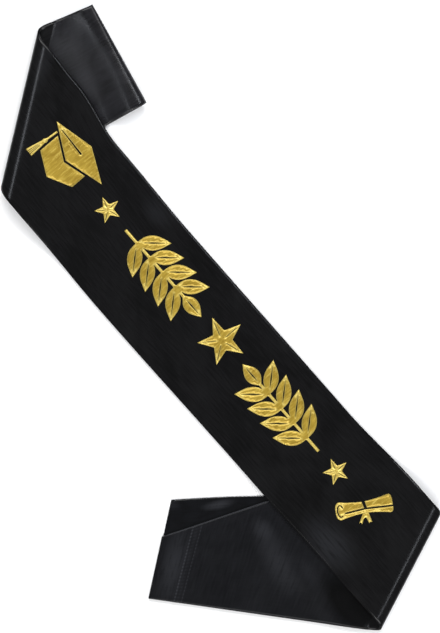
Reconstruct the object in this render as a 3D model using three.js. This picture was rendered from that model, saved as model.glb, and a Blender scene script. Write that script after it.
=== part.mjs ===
// A satin graduation sash: a closed loop of ribbon pressed flat to two layers, folded under at
// both ends so that its tails lie below the front strip, with gold foil figures on the front.
// Millimetres, +Z up, lying on z = 0. Angles are in degrees, anticlockwise from +X.
import * as THREE from 'three';

// The cloth
const sashWidth = 95;
const clothThickness = 1;
const layerGap = 0.3;

// The front strip, measured between the outer edges of its two folds
const frontLength = 479;
const frontHeading = -48.9;

// The left fold: how far it bulges, half its height, and how far the cloth slides along it
const leftFoldLean = 76.7;
const leftFoldReach = 12;
const leftFoldRise = 5.5;
const leftFoldSlide = 29.4;
const leftFoldUnderWidth = 126;
const leftFoldRunOut = 56;

// The right fold
const rightFoldLean = 62.6;
const rightFoldReach = 10;
const rightFoldRise = 4.8;
const rightFoldSlide = 11.7;
const rightFoldUnderWidth = 104;
const rightFoldRunOut = 50;

// The top tail ends in a rolled turn, fatter at its lower end
const topTailLength = 73;
const topTailHeading = 27.8;
const topEndLean = 118.9;
const topEndWidth = 90;
const topRollUpperRise = 1.6;
const topRollLowerRise = 5.6;
const topRollReachShare = 2.1;
const topRollRunOut = 24;

// The bottom tail ends in a flat sewn edge, and its upper layer is turned in along a slant
const bottomTailLength = 190;
const bottomTailHeading = 174.5;
const bottomTailBulge = 8;
const bottomEndLean = 77.6;
const bottomEndWidth = 81;
const turnedInFrom = 0.57;
const turnedInShare = 0.63;

// The front strip's long edges: at is a share of half the front length from its middle, and lower
// and upper are shares of half the sash width
const frontSections = [
  { at: -1.12, lower: 1.03, upper: 1.17 },
  { at: -0.93, lower: 1.03, upper: 1.14 },
  { at: -0.72, lower: 1.05, upper: 0.96 },
  { at: -0.35, lower: 1.09, upper: 0.92 },
  { at: 0.45, lower: 1.055, upper: 0.935 },
  { at: 0.8, lower: 1.025, upper: 1.01 },
  { at: 1.12, lower: 1.01, upper: 1.01 },
];

// Where the front strip steps down from a tail to the surface
const stepMargin = 5;
const stepRunOut = 30;

// The foil
const foilThickness = 0.3;
const foilGap = 0.4;
const foilSag = 0.15;

// The mortarboard, placed by its board's middle on the front strip
const capAlong = -186;
const capAcross = 18;
const boardWidth = 61;
const boardHeight = 23;
const boardSlant = 2.4;
const boardLeftRise = 3.7;
const boardRightDrop = 2.3;
const crownWidth = 38;
const crownDepth = 20;
const crownSideDepth = 10;
const crownGap = 1.8;
const tasselLength = 28;
const tasselInset = 6.5;
const tasselWidth = 6;
const tasselLean = 2.4;

// The diploma scroll, placed by its middle
const scrollAlong = 177;
const scrollAcross = 4;
const scrollTurn = 59;
const scrollLength = 46;
const scrollWidth = 12;
const tieWidth = 6;
const tieLength = 8.4;
const tieGap = 0.8;

// The ornament: a big star in the middle, laurel branches beside it and a star at each outer end
const ornamentFrom = -148;
const ornamentTo = 152;
const ornamentAcross = 6;
const ornamentHeight = 44;
const middleStarRadius = 20;
const outerStarRadius = 11;
const starInnerShare = 0.42;
const starGap = 5;
const leafPitch = 15.5;
const leafWidth = 12;
const leafTurn = 48;
const stemWidth = 2.4;
const tipLeafShare = 0.8;
const rootShare = 0.35;
const rootWidth = 2.4;

// How finely the ribbon is faceted
const columns = 8;
const rollSteps = 8;
const flatEndSteps = 4;
const rampStep = 8;
const flatStep = 22;

const satinBlack = new THREE.MeshStandardMaterial({ color: 0x191a1d, roughness: 0.42, metalness: 0 });
const foilGold = new THREE.MeshStandardMaterial({ color: 0xe0be45, roughness: 0.35, metalness: 0.9 });

const layerPitch = clothThickness + layerGap;
const outerLayer = 0;
const innerLayer = 1;

const radians = (degrees) => (degrees * Math.PI) / 180;
const along = (degrees) => new THREE.Vector2(Math.cos(radians(degrees)), Math.sin(radians(degrees)));
const mix = (a, b, share) => a + (b - a) * share;
const ease = (share) => {
  const s = THREE.MathUtils.clamp(share, 0, 1);
  return 0.5 - 0.5 * Math.cos(Math.PI * s);
};

// A straight line across the ribbon, from share -1 at one long edge to +1 at the other
function crossLine(centre, lean, length) {
  const direction = along(lean);
  const at = (share) => centre.clone().addScaledVector(direction, (share * length) / 2);
  const outward = (side) => new THREE.Vector2(direction.y * side, -direction.x * side);
  return { centre, direction, at, outward };
}

// The front strip's own axes: frontAlong runs down its length and frontAcross to its upper edge
const frontAlong = along(frontHeading);
const frontAcross = along(frontHeading + 90);

// A fold's tangent lines: the upper one carries the front strip and the lower one the tail
function makeFold({ side, lean, reach, rise, slide, underWidth, runOut }) {
  const bite = Math.abs(Math.sin(radians(lean - frontHeading)));
  const middle = frontAlong.clone().multiplyScalar(side * (frontLength / 2 - reach / bite));
  const upper = crossLine(middle, lean, sashWidth / bite);
  const under = crossLine(middle.clone().addScaledVector(upper.direction, -side * slide), lean, underWidth);
  const slope = 1 / Math.tan(radians(lean - frontHeading));
  return { side, upper, under, outward: upper.outward(side), reach, rise, runOut, slope };
}

const leftFold = makeFold({
  side: -1,
  lean: leftFoldLean,
  reach: leftFoldReach,
  rise: leftFoldRise,
  slide: leftFoldSlide,
  underWidth: leftFoldUnderWidth,
  runOut: leftFoldRunOut,
});
const rightFold = makeFold({
  side: 1,
  lean: rightFoldLean,
  reach: rightFoldReach,
  rise: rightFoldRise,
  slide: rightFoldSlide,
  underWidth: rightFoldUnderWidth,
  runOut: rightFoldRunOut,
});

// A tail's end: the line of its outermost points and the turn from its lower to its upper layer
function makeEnd(fold, tailLength, tailHeading, lean, width, riseAt, reachAt) {
  const centre = fold.under.centre.clone().addScaledVector(along(tailHeading), tailLength);
  const line = crossLine(centre, lean, width);
  const outward = line.outward(Math.sign(line.outward(1).dot(along(tailHeading))));
  const turnStart = (share) => line.at(share).addScaledVector(outward, -reachAt(share));
  return { line, outward, riseAt, reachAt, turnStart };
}

const topRise = (share) => mix(topRollLowerRise, topRollUpperRise, (share + 1) / 2);
const topEnd = makeEnd(
  leftFold, topTailLength, topTailHeading, topEndLean, topEndWidth,
  topRise, (share) => topRise(share) * topRollReachShare,
);
const bottomEnd = makeEnd(
  rightFold, bottomTailLength, bottomTailHeading, bottomEndLean, bottomEndWidth,
  () => layerPitch / 2, () => layerPitch / 2,
);

// The tail edge that the front strip steps over, as a distance beyond it
function beyondEdge(fold, end, share) {
  const from = fold.under.at(share);
  const to = end.line.at(share);
  const run = to.clone().sub(from).normalize();
  const away = new THREE.Vector2(-run.y, run.x);
  const inward = away.dot(frontAlong) * -fold.side > 0 ? 1 : -1;
  return (point) => point.clone().sub(from).dot(away) * inward;
}

const beyondTopTail = beyondEdge(leftFold, topEnd, -1);
const beyondBottomTail = beyondEdge(rightFold, bottomEnd, 1);

// Height of the front strip's lower layer above the surface, near one fold
function liftNear(fold, beyond, point) {
  const inward = -point.clone().sub(fold.upper.centre).dot(fold.outward);
  const roll = 1 - ease(inward / fold.runOut);
  const onTail = 1 - ease((beyond(point) - stepMargin) / stepRunOut);
  return mix(2 * layerPitch * onTail, 2 * fold.rise - layerPitch, roll);
}

function frontLift(point) {
  const nearLeft = point.dot(frontAlong) < 0;
  return nearLeft ? liftNear(leftFold, beyondTopTail, point) : liftNear(rightFold, beyondBottomTail, point);
}

// A point of the front strip in plan, from its place along and across the strip
function frontPoint(u, v) {
  return new THREE.Vector2().addScaledVector(frontAlong, u).addScaledVector(frontAcross, v);
}

// The front strip's place across itself for a share of its width, from -1 to +1, at a place along
function frontEdge(u, share) {
  const at = (2 * u) / frontLength;
  const last = frontSections.length - 1;
  let i = frontSections.findIndex((row) => row.at > at) - 1;
  if (i < -1) i = last - 1;
  const from = frontSections[Math.max(i, 0)];
  const to = frontSections[Math.max(i, 0) + 1];
  const step = ease((at - from.at) / (to.at - from.at));
  const lower = -mix(from.lower, to.lower, step);
  const upper = mix(from.upper, to.upper, step);
  return (mix(lower, upper, (share + 1) / 2) * sashWidth) / 2;
}

// A point of the front strip from its share of the way between the folds and of the width
function frontPlan(stop, share) {
  const from = leftFold.upper.centre.dot(frontAlong);
  const to = rightFold.upper.centre.dot(frontAlong);
  const alongAt = (v) => mix(from + leftFold.slope * v, to + rightFold.slope * v, stop);
  const v = frontEdge(alongAt((share * sashWidth) / 2), share);
  return frontPoint(alongAt(v), v);
}

const spatial = (point, z) => new THREE.Vector3(point.x, point.y, z);
const shares = Array.from({ length: columns + 1 }, (_, j) => (2 * j) / columns - 1);
const layerHeight = (layer) => clothThickness / 2 + layer * layerPitch;

// Rows of the front strip from the left fold to the right one
function frontRows(layer) {
  const ramp = Math.ceil((leftFoldRunOut + sashWidth) / rampStep);
  const flat = Math.ceil((frontLength - 2 * ramp * rampStep) / flatStep);
  const stops = [];
  for (let i = 0; i < ramp; i += 1) stops.push((i * rampStep) / frontLength);
  for (let i = 0; i <= flat; i += 1) {
    stops.push(mix(ramp * rampStep, frontLength - ramp * rampStep, i / flat) / frontLength);
  }
  for (let i = ramp - 1; i >= 0; i -= 1) stops.push(1 - (i * rampStep) / frontLength);
  return stops.map((stop) => shares.map((share) => {
    const point = frontPlan(stop, share);
    return spatial(point, layerHeight(innerLayer - layer) + frontLift(point));
  }));
}

// Rows round a fold from its upper line to its lower one, without the two lines themselves
function foldRows(fold, layer) {
  const inset = layer * layerPitch;
  const rows = [];
  for (let i = 1; i < rollSteps; i += 1) {
    const turn = (Math.PI * i) / rollSteps;
    const start = fold === leftFold ? 0 : 1;
    rows.push(shares.map((share) => {
      const point = frontPlan(start, share).lerp(fold.under.at(share), i / rollSteps);
      point.addScaledVector(fold.outward, (fold.reach - inset) * Math.sin(turn));
      return spatial(point, clothThickness / 2 + fold.rise + (fold.rise - inset) * Math.cos(turn));
    }));
  }
  return rows;
}

// A point of a tail in plan; its upper long edge may bulge between the fold and the end
function tailPlan(fold, end, share, stop) {
  const bulge = end === bottomEnd ? bottomTailBulge * Math.sin(Math.PI * stop) * ((share + 1) / 2) : 0;
  return fold.under.at(share).lerp(end.turnStart(share), stop).addScaledVector(end.line.direction, bulge);
}

// Rows of a tail from its fold to its end. narrowed gives the width share left at a place along it.
function tailRows(fold, end, layer, stops, narrowed) {
  return stops.map((stop) => shares.map((share) => {
    const placed = -1 + (share + 1) * narrowed(stop);
    const far = end.turnStart(placed);
    const point = tailPlan(fold, end, placed, stop);
    const fromEnd = point.distanceTo(far);
    const puff = layer * (2 * end.riseAt(placed) - layerPitch) * (1 - ease(fromEnd / topRollRunOut));
    return spatial(point, layerHeight(layer) + puff);
  }));
}

// Rows of the turn at a tail's end from its lower layer to its upper one, without the outer two
function endRows(end, steps, width) {
  const rows = [];
  for (let i = 1; i < steps; i += 1) {
    const turn = (Math.PI * i) / steps;
    rows.push(shares.map((share) => {
      const placed = -1 + (share + 1) * width;
      const back = end.reachAt(placed) * (1 - Math.sin(turn));
      const point = end.line.at(placed).addScaledVector(end.outward, -back);
      return spatial(point, clothThickness / 2 + end.riseAt(placed) * (1 - Math.cos(turn)));
    }));
  }
  return rows;
}

const evenStops = (count) => Array.from({ length: count + 1 }, (_, i) => i / count);
const topStops = evenStops(Math.round(topTailLength / rampStep));
const turnedInSteps = Math.round((bottomTailLength * (1 - turnedInFrom)) / flatStep);
const bottomStops = [
  ...evenStops(Math.round((bottomTailLength * turnedInFrom) / flatStep)).map((stop) => stop * turnedInFrom),
  ...evenStops(turnedInSteps).slice(1).map((stop) => mix(turnedInFrom, 1, stop)),
];
const wholeWidth = () => 1;

// The upper layer of the bottom tail is turned in along a slant, from full width to its share
function turnedIn(stop) {
  return mix(1, turnedInShare, THREE.MathUtils.clamp((stop - turnedInFrom) / (1 - turnedInFrom), 0, 1));
}

// Gives a sheet its thickness: each face twice, and a wall along each free edge
function thicken(points, faces, thickness) {
  const normals = points.map(() => new THREE.Vector3());
  for (const face of faces) {
    const [a, b, c] = face.map((index) => points[index]);
    const last = points[face[face.length - 1]];
    const normal = c.clone().sub(a).cross(last.clone().sub(b));
    for (const index of face) normals[index].add(normal);
  }
  const position = [];
  for (const side of [1, -1]) {
    points.forEach((point, index) => {
      const offset = normals[index].clone().normalize().multiplyScalar((side * thickness) / 2);
      position.push(...point.clone().add(offset).toArray());
    });
  }
  const count = points.length;
  const indices = [];
  const edges = new Map();
  for (const face of faces) {
    for (let i = 2; i < face.length; i += 1) {
      indices.push(face[0], face[i - 1], face[i]);
      indices.push(face[0] + count, face[i] + count, face[i - 1] + count);
    }
    face.forEach((from, i) => {
      const to = face[(i + 1) % face.length];
      if (!edges.delete(`${to}_${from}`)) edges.set(`${from}_${to}`, [from, to]);
    });
  }
  for (const [from, to] of edges.values()) {
    indices.push(from, from + count, to + count, from, to + count, to);
  }
  const geometry = new THREE.BufferGeometry();
  geometry.setAttribute('position', new THREE.Float32BufferAttribute(position, 3));
  geometry.setIndex(indices);
  geometry.computeVertexNormals();
  return geometry;
}

// The whole loop of cloth, row by row, and the corner of the bottom tail's lower layer
function ribbonGeometry() {
  const lowerTail = tailRows(rightFold, bottomEnd, outerLayer, bottomStops, turnedIn);
  const rows = [
    ...lowerTail.slice().reverse(),
    ...foldRows(rightFold, outerLayer).reverse(),
    ...frontRows(outerLayer).reverse(),
    ...foldRows(leftFold, outerLayer),
    ...tailRows(leftFold, topEnd, outerLayer, topStops, wholeWidth),
    ...endRows(topEnd, rollSteps, 1),
    ...tailRows(leftFold, topEnd, innerLayer, topStops, wholeWidth).reverse(),
    ...foldRows(leftFold, innerLayer).reverse(),
    ...frontRows(innerLayer),
    ...foldRows(rightFold, innerLayer),
    ...tailRows(rightFold, bottomEnd, innerLayer, bottomStops, turnedIn),
    ...endRows(bottomEnd, flatEndSteps, turnedInShare).reverse(),
  ];
  const points = rows.flat();
  const wide = columns + 1;
  const faces = [];
  rows.forEach((_, i) => {
    const next = (i + 1) % rows.length;
    for (let j = 0; j < columns; j += 1) {
      faces.push([i * wide + j, i * wide + j + 1, next * wide + j + 1, next * wide + j]);
    }
  });
  const edgeVertex = (row) => row * wide + columns;
  let before = null;
  lowerTail.slice().reverse().forEach((_, row) => {
    const stop = bottomStops[bottomStops.length - 1 - row];
    if (stop <= turnedInFrom) return;
    points.push(spatial(tailPlan(rightFold, bottomEnd, 1, stop), layerHeight(outerLayer)));
    const made = points.length - 1;
    if (before !== null) faces.push([edgeVertex(row - 1), before, made, edgeVertex(row)]);
    before = made;
    const next = bottomStops[bottomStops.length - 2 - row];
    if (next <= turnedInFrom) faces.push([edgeVertex(row), made, edgeVertex(row + 1)]);
  });
  return thicken(points, faces, clothThickness);
}

// Splits every face of a flat mesh in four until no edge leaves the surface that it is laid on
function refine(points, triangles, heightAt) {
  const sags = (a, b) => {
    const middle = points[a].clone().lerp(points[b], 0.5);
    return Math.abs(heightAt(middle) - (heightAt(points[a]) + heightAt(points[b])) / 2) > foilSag;
  };
  let current = triangles;
  while (current.some(([a, b, c]) => sags(a, b) || sags(b, c) || sags(c, a))) {
    const middles = new Map();
    const middleOf = (a, b) => {
      const key = a < b ? `${a}_${b}` : `${b}_${a}`;
      if (!middles.has(key)) {
        middles.set(key, points.length);
        points.push(points[a].clone().lerp(points[b], 0.5));
      }
      return middles.get(key);
    };
    current = current.flatMap(([a, b, c]) => {
      const [ab, bc, ca] = [middleOf(a, b), middleOf(b, c), middleOf(c, a)];
      return [[a, ab, ca], [ab, b, bc], [ca, bc, c], [ab, bc, ca]];
    });
  }
  return current;
}

// A foil figure: an outline on the front strip, laid over the cloth
function foilGeometry(outline) {
  const shape = new THREE.Shape(outline);
  const flat = new THREE.ShapeGeometry(shape);
  const places = flat.getAttribute('position');
  const points = [];
  for (let i = 0; i < places.count; i += 1) points.push(new THREE.Vector2(places.getX(i), places.getY(i)));
  const index = Array.from(flat.getIndex().array);
  const triangles = [];
  for (let i = 0; i < index.length; i += 3) triangles.push(index.slice(i, i + 3));
  const lift = (point) => frontLift(frontPoint(point.x, point.y));
  const faces = refine(points, triangles, lift);
  const base = layerHeight(innerLayer) + clothThickness / 2 + foilGap + foilThickness / 2;
  const laid = points.map((point) => spatial(frontPoint(point.x, point.y), base + lift(point)));
  return thicken(laid, faces, foilThickness);
}

// Moves and turns an outline drawn round its own origin to its place on the strip
function placed(outline, u, v, turn) {
  const centre = new THREE.Vector2(0, 0);
  const place = new THREE.Vector2(u, v);
  return outline.map((point) => point.clone().rotateAround(centre, radians(turn)).add(place));
}

const corner = (x, y) => new THREE.Vector2(x, y);

// The mortarboard's flat board, a wide diamond
function boardOutline() {
  const left = corner(-boardWidth / 2, boardLeftRise);
  const top = corner(boardSlant, boardHeight / 2);
  const right = corner(boardWidth / 2, -boardRightDrop);
  const bottom = corner(-boardSlant, -boardHeight / 2);
  return placed([left, bottom, right, top], capAlong, capAcross, 0);
}

// The crown under the board, pointed below as the board is, and clear of its two lower edges
function crownOutline() {
  const half = crownWidth / 2;
  const [left, bottom, right] = boardOutline();
  const under = (u) => {
    const [from, to] = u < bottom.x ? [left, bottom] : [bottom, right];
    return mix(from.y, to.y, (u - from.x) / (to.x - from.x)) - crownGap;
  };
  return [
    corner(bottom.x - half, bottom.y - crownSideDepth),
    corner(bottom.x, bottom.y - crownDepth),
    corner(bottom.x + half, bottom.y - crownSideDepth),
    corner(bottom.x + half, under(bottom.x + half)),
    corner(bottom.x, under(bottom.x)),
    corner(bottom.x - half, under(bottom.x - half)),
  ];
}

// Half the tassel's width down its length, as shares: the cord, the knot and the flared fringe
const tasselRows = [
  { down: 0.04, half: 0.12 },
  { down: 0.36, half: 0.12 },
  { down: 0.42, half: 0.3 },
  { down: 0.52, half: 0.3 },
  { down: 1, half: 0.58 },
];

// The tassel hangs from the board's edge near its left corner
function tasselOutline() {
  const [left, bottom] = boardOutline();
  const hang = left.x + tasselInset;
  const top = mix(left.y, bottom.y, (tasselInset + tasselWidth / 2) / (bottom.x - left.x));
  const side = (sign) => tasselRows.map((row) => corner(
    hang - tasselLean * row.down + sign * row.half * tasselWidth,
    top - row.down * tasselLength,
  ));
  return [...side(-1), ...side(1).reverse()];
}

// Half the scroll's width along it, as shares: narrow at the tie and curled out at both ends
const scrollWaist = 0.38;
const scrollRows = [
  { at: -1, half: 0.42 },
  { at: -0.9, half: 0.56 },
  { at: -0.6, half: 0.46 },
  { at: 0, half: scrollWaist },
  { at: 0.6, half: 0.46 },
  { at: 0.86, half: 0.62 },
  { at: 1, half: 0.5 },
];

function scrollOutline() {
  const side = (sign) => scrollRows.map((row) => (
    corner((row.at * scrollLength) / 2, sign * row.half * scrollWidth)
  ));
  return placed([...side(-1), ...side(1).reverse()], scrollAlong, scrollAcross, scrollTurn);
}

// The scroll's tie, from its knot: the ends of two ribbon tails, as shares of its width and length
const tiePoints = [
  { across: -0.3, down: 0 },
  { across: -1, down: 0.86 },
  { across: -0.2, down: 0.64 },
  { across: 0.5, down: 1 },
  { across: 0.5, down: 0 },
];

function tieOutline() {
  const top = -scrollWaist * scrollWidth - tieGap;
  const points = tiePoints.map((point) => corner(point.across * tieWidth, top - point.down * tieLength));
  return placed(points, scrollAlong, scrollAcross, scrollTurn);
}

function starOutline(u, v, radius) {
  const points = [];
  for (let i = 0; i < 10; i += 1) {
    const reach = i % 2 ? radius * starInnerShare : radius;
    points.push(along(90 + i * 36).multiplyScalar(reach));
  }
  return placed(points, u, v, 0);
}

// Half an edge of a leaf, out and back again, as shares of its length and width
const leafRows = [
  { out: 0.12, half: 0.2 },
  { out: 0.42, half: 0.5 },
  { out: 0.74, half: 0.36 },
  { out: 1, half: 0 },
];

// A laurel branch from its foot to its tip: a stem with leaves in pairs and one at the tip
function branchOutline(foot, tip) {
  const sign = Math.sign(tip - foot);
  const length = Math.abs(tip - foot);
  const leafLength = (ornamentHeight / 2 - stemWidth / 2) / Math.sin(radians(leafTurn));
  const tipLeaf = leafLength * tipLeafShare;
  const pairs = Math.max(1, Math.floor((length - tipLeaf) / leafPitch));
  const start = length - tipLeaf - pairs * leafPitch;
  const rim = (side) => {
    const points = [corner(start / 2, (side * stemWidth) / 2)];
    for (let i = 0; i < pairs; i += 1) {
      const root = corner(start + (i + rootShare) * leafPitch, (side * stemWidth) / 2);
      const grow = along(side * leafTurn);
      const across = along(side * (leafTurn + 90));
      const at = (row, face) => root.clone()
        .addScaledVector(grow, row.out * leafLength)
        .addScaledVector(across, face * row.half * leafWidth);
      points.push(corner(root.x - rootWidth / 2, root.y));
      leafRows.forEach((row) => points.push(at(row, 1)));
      leafRows.slice(0, -1).reverse().forEach((row) => points.push(at(row, -1)));
      points.push(corner(root.x + rootWidth / 2, root.y));
    }
    return points;
  };
  const end = length - tipLeaf;
  const upper = rim(1);
  const lower = rim(-1);
  const last = leafRows.slice(0, -1);
  const tipUpper = last.map((row) => corner(end + row.out * tipLeaf, row.half * leafWidth));
  const tipLower = last.map((row) => corner(end + row.out * tipLeaf, -row.half * leafWidth));
  const loop = [...lower, ...tipLower, corner(length, 0), ...tipUpper.reverse(), ...upper.reverse()];
  const laid = loop.map((point) => corner(foot + sign * point.x, ornamentAcross + point.y));
  return sign > 0 ? laid : laid.reverse();
}

const sash = new THREE.Group();

function addPiece(name, geometry, material) {
  const mesh = new THREE.Mesh(geometry, material);
  mesh.name = name;
  sash.add(mesh);
}

const middle = (ornamentFrom + ornamentTo) / 2;
const foot = 2 * outerStarRadius + starGap;
const tip = middleStarRadius + starGap;
const star = (u, radius) => starOutline(u, ornamentAcross, radius);
const foils = {
  foil_cap_board: boardOutline(),
  foil_cap_crown: crownOutline(),
  foil_cap_tassel: tasselOutline(),
  foil_scroll: scrollOutline(),
  foil_scroll_tie: tieOutline(),
  foil_star_left: star(ornamentFrom + outerStarRadius, outerStarRadius),
  foil_star_middle: star(middle, middleStarRadius),
  foil_star_right: star(ornamentTo - outerStarRadius, outerStarRadius),
  foil_branch_left: branchOutline(ornamentFrom + foot, middle - tip),
  foil_branch_right: branchOutline(ornamentTo - foot, middle + tip),
};

addPiece('sash_ribbon', ribbonGeometry(), satinBlack);
for (const [name, outline] of Object.entries(foils)) addPiece(name, foilGeometry(outline), foilGold);

// The origin is the middle of the sash's box, on the surface that it lies on
const box = new THREE.Box3().setFromObject(sash);
const boxMiddle = box.getCenter(new THREE.Vector3());
sash.position.set(-boxMiddle.x, -boxMiddle.y, -box.min.z);

export default sash;
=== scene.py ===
import math

import bpy
import numpy as np
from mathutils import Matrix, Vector, noise
from mathutils.geometry import delaunay_2d_cdt


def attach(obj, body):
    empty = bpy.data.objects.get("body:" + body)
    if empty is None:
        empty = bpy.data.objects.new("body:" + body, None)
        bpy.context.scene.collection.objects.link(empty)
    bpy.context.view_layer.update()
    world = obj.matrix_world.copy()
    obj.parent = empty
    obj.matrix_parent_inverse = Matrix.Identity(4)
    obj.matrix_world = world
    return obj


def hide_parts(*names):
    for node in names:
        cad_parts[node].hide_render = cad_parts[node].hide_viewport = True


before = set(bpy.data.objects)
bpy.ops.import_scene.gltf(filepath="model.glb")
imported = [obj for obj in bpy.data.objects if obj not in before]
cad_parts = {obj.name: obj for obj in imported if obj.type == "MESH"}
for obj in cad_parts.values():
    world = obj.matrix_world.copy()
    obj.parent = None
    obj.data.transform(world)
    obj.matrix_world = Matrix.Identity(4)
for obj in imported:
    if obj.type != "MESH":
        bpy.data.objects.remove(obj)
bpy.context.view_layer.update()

scene = bpy.context.scene
mm = 0.001

# The cloth is worked out in millimetres round the middle of the front strip, with the same
# formulas as the solids, and origin is that middle's place in the frame
sash = dict(
    width=95, pitch=1.3, halfLayer=0.5, wall=0.7, frontLength=479, frontHeading=-48.9,
    origin=(-5.025, -21.015), columns=44, frontRows=140, rollRows=24, topRows=34, bottomRows=52,
    endRows=20, flatSize=(0.095, 1.55),
)
leftFold = dict(side=-1, lean=76.7, reach=12, rise=5.5, slide=29.4, underWidth=126, runOut=56)
rightFold = dict(side=1, lean=62.6, reach=10, rise=4.8, slide=11.7, underWidth=104, runOut=50)
topTail = dict(
    length=73, heading=27.8, endLean=118.9, endWidth=90, bulge=0,
    upperRise=1.6, lowerRise=5.6, reachShare=2.1, runOut=24,
)
bottomTail = dict(
    length=190, heading=174.5, endLean=77.6, endWidth=81, bulge=8,
    upperRise=0.65, lowerRise=0.65, reachShare=1, runOut=24, turnedInFrom=0.57, turnedInShare=0.63,
)
# the front strip's long edges: place along, lower edge, upper edge, as shares of half its size
frontSections = [
    (-1.12, 1.03, 1.17), (-0.93, 1.03, 1.14), (-0.72, 1.05, 0.96), (-0.35, 1.09, 0.92),
    (0.45, 1.055, 0.935), (0.8, 1.025, 1.01), (1.12, 1.01, 1.01),
]
stepOver = dict(margin=5, runOut=30)


def along(degrees):
    return np.array([math.cos(math.radians(degrees)), math.sin(math.radians(degrees))])


def mix(a, b, t):
    return a + (b - a) * t


def clamp(t):
    return min(max(t, 0.0), 1.0)


def ease(t):
    return 0.5 - 0.5 * math.cos(math.pi * clamp(t))


def bell(distance, width):
    return math.exp(-(distance / width) ** 2)


frontAlong = along(sash["frontHeading"])
frontAcross = along(sash["frontHeading"] + 90)

for fold in (leftFold, rightFold):
    angle = math.radians(fold["lean"] - sash["frontHeading"])
    direction = along(fold["lean"])
    fold["direction"] = direction
    fold["outward"] = fold["side"] * np.array([direction[1], -direction[0]])
    fold["centre"] = frontAlong * fold["side"] * (sash["frontLength"] / 2 - fold["reach"] / math.sin(angle))
    fold["underCentre"] = fold["centre"] - direction * fold["side"] * fold["slide"]
    fold["slope"] = 1 / math.tan(angle)

for tail, fold in ((topTail, leftFold), (bottomTail, rightFold)):
    direction, heading = along(tail["endLean"]), along(tail["heading"])
    away = np.array([direction[1], -direction[0]])
    tail["fold"] = fold
    tail["direction"] = direction
    tail["centre"] = fold["underCentre"] + heading * tail["length"]
    tail["outward"] = away * math.copysign(1, away @ heading)


def underLine(fold, share):
    return fold["underCentre"] + fold["direction"] * share * fold["underWidth"] / 2


def endLine(tail, share):
    return tail["centre"] + tail["direction"] * share * tail["endWidth"] / 2


def riseAt(tail, share):
    return mix(tail["lowerRise"], tail["upperRise"], (share + 1) / 2)


def turnStart(tail, share):
    return endLine(tail, share) - tail["outward"] * riseAt(tail, share) * tail["reachShare"]


def tailPlan(tail, share, stop):
    bulge = tail["bulge"] * math.sin(math.pi * stop) * (share + 1) / 2
    return mix(underLine(tail["fold"], share), turnStart(tail, share), stop) + tail["direction"] * bulge


def frontEdge(u, share):
    at = 2 * u / sash["frontLength"]
    passed = [k for k in range(len(frontSections) - 1) if frontSections[k][0] <= at]
    start, end = frontSections[max(passed or [0])], frontSections[max(passed or [0]) + 1]
    t = ease((at - start[0]) / (end[0] - start[0]))
    return mix(-mix(start[1], end[1], t), mix(start[2], end[2], t), (share + 1) / 2) * sash["width"] / 2


def frontPlan(stop, share):
    start, end = leftFold["centre"] @ frontAlong, rightFold["centre"] @ frontAlong

    def alongAt(v):
        return mix(start + leftFold["slope"] * v, end + rightFold["slope"] * v, stop)

    v = frontEdge(alongAt(share * sash["width"] / 2), share)
    return frontAlong * alongAt(v) + frontAcross * v


def edgeOf(tail, share):
    start = underLine(tail["fold"], share)
    run = endLine(tail, share) - start
    away = np.array([-run[1], run[0]]) / np.linalg.norm(run)
    sign = 1 if (away @ frontAlong) * -tail["fold"]["side"] > 0 else -1
    return start, away * sign


# the tail edges that the front strip steps down from
topTail["stepEdge"] = edgeOf(topTail, -1)
bottomTail["stepEdge"] = edgeOf(bottomTail, 1)


def inwardOf(fold, point):
    return -float((point - fold["centre"]) @ fold["outward"])


def frontLift(point):
    tail = topTail if point @ frontAlong < 0 else bottomTail
    fold = tail["fold"]
    start, away = tail["stepEdge"]
    roll = 1 - ease(inwardOf(fold, point) / fold["runOut"])
    onTail = 1 - ease((float((point - start) @ away) - stepOver["margin"]) / stepOver["runOut"])
    return mix(2 * sash["pitch"] * onTail, 2 * fold["rise"] - sash["pitch"], roll)


# Soft undulations of the thin cloth, the same for both layers of a run
waves = dict(
    size=46, fine=14, fineShare=0.15, front=0.16, tail=0.6, calmNearFold=30, openFrom=2, openOver=16,
    leftAtEnd=0.25, endRate=6,
)
# The bottom tail rises in a low ridge beside the front strip and in a pressed seam near its end
ridge = dict(rise=1.7, across=21, width=10, leftAtFar=0.3, calmNearEnd=30)
seam = dict(rise=0.7, fromEnd=22, width=1.5, second=6.5, secondRise=0.3)
# The top tail is drawn up in a few slack folds towards its rolled end
slack = dict(rise=0.35, spacing=38, lean=12, endRate=4)


def softNoise(point, size, seed):
    return noise.noise(Vector((point[0] / size, point[1] / size, seed)))


def frontWave(point):
    calm = ease(min(inwardOf(leftFold, point), inwardOf(rightFold, point)) / waves["calmNearFold"])
    both = softNoise(point, waves["size"], 3.1) + waves["fineShare"] * softNoise(point, waves["fine"], 8.4)
    return waves["front"] * calm * max(0.5 + both, 0)


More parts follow.
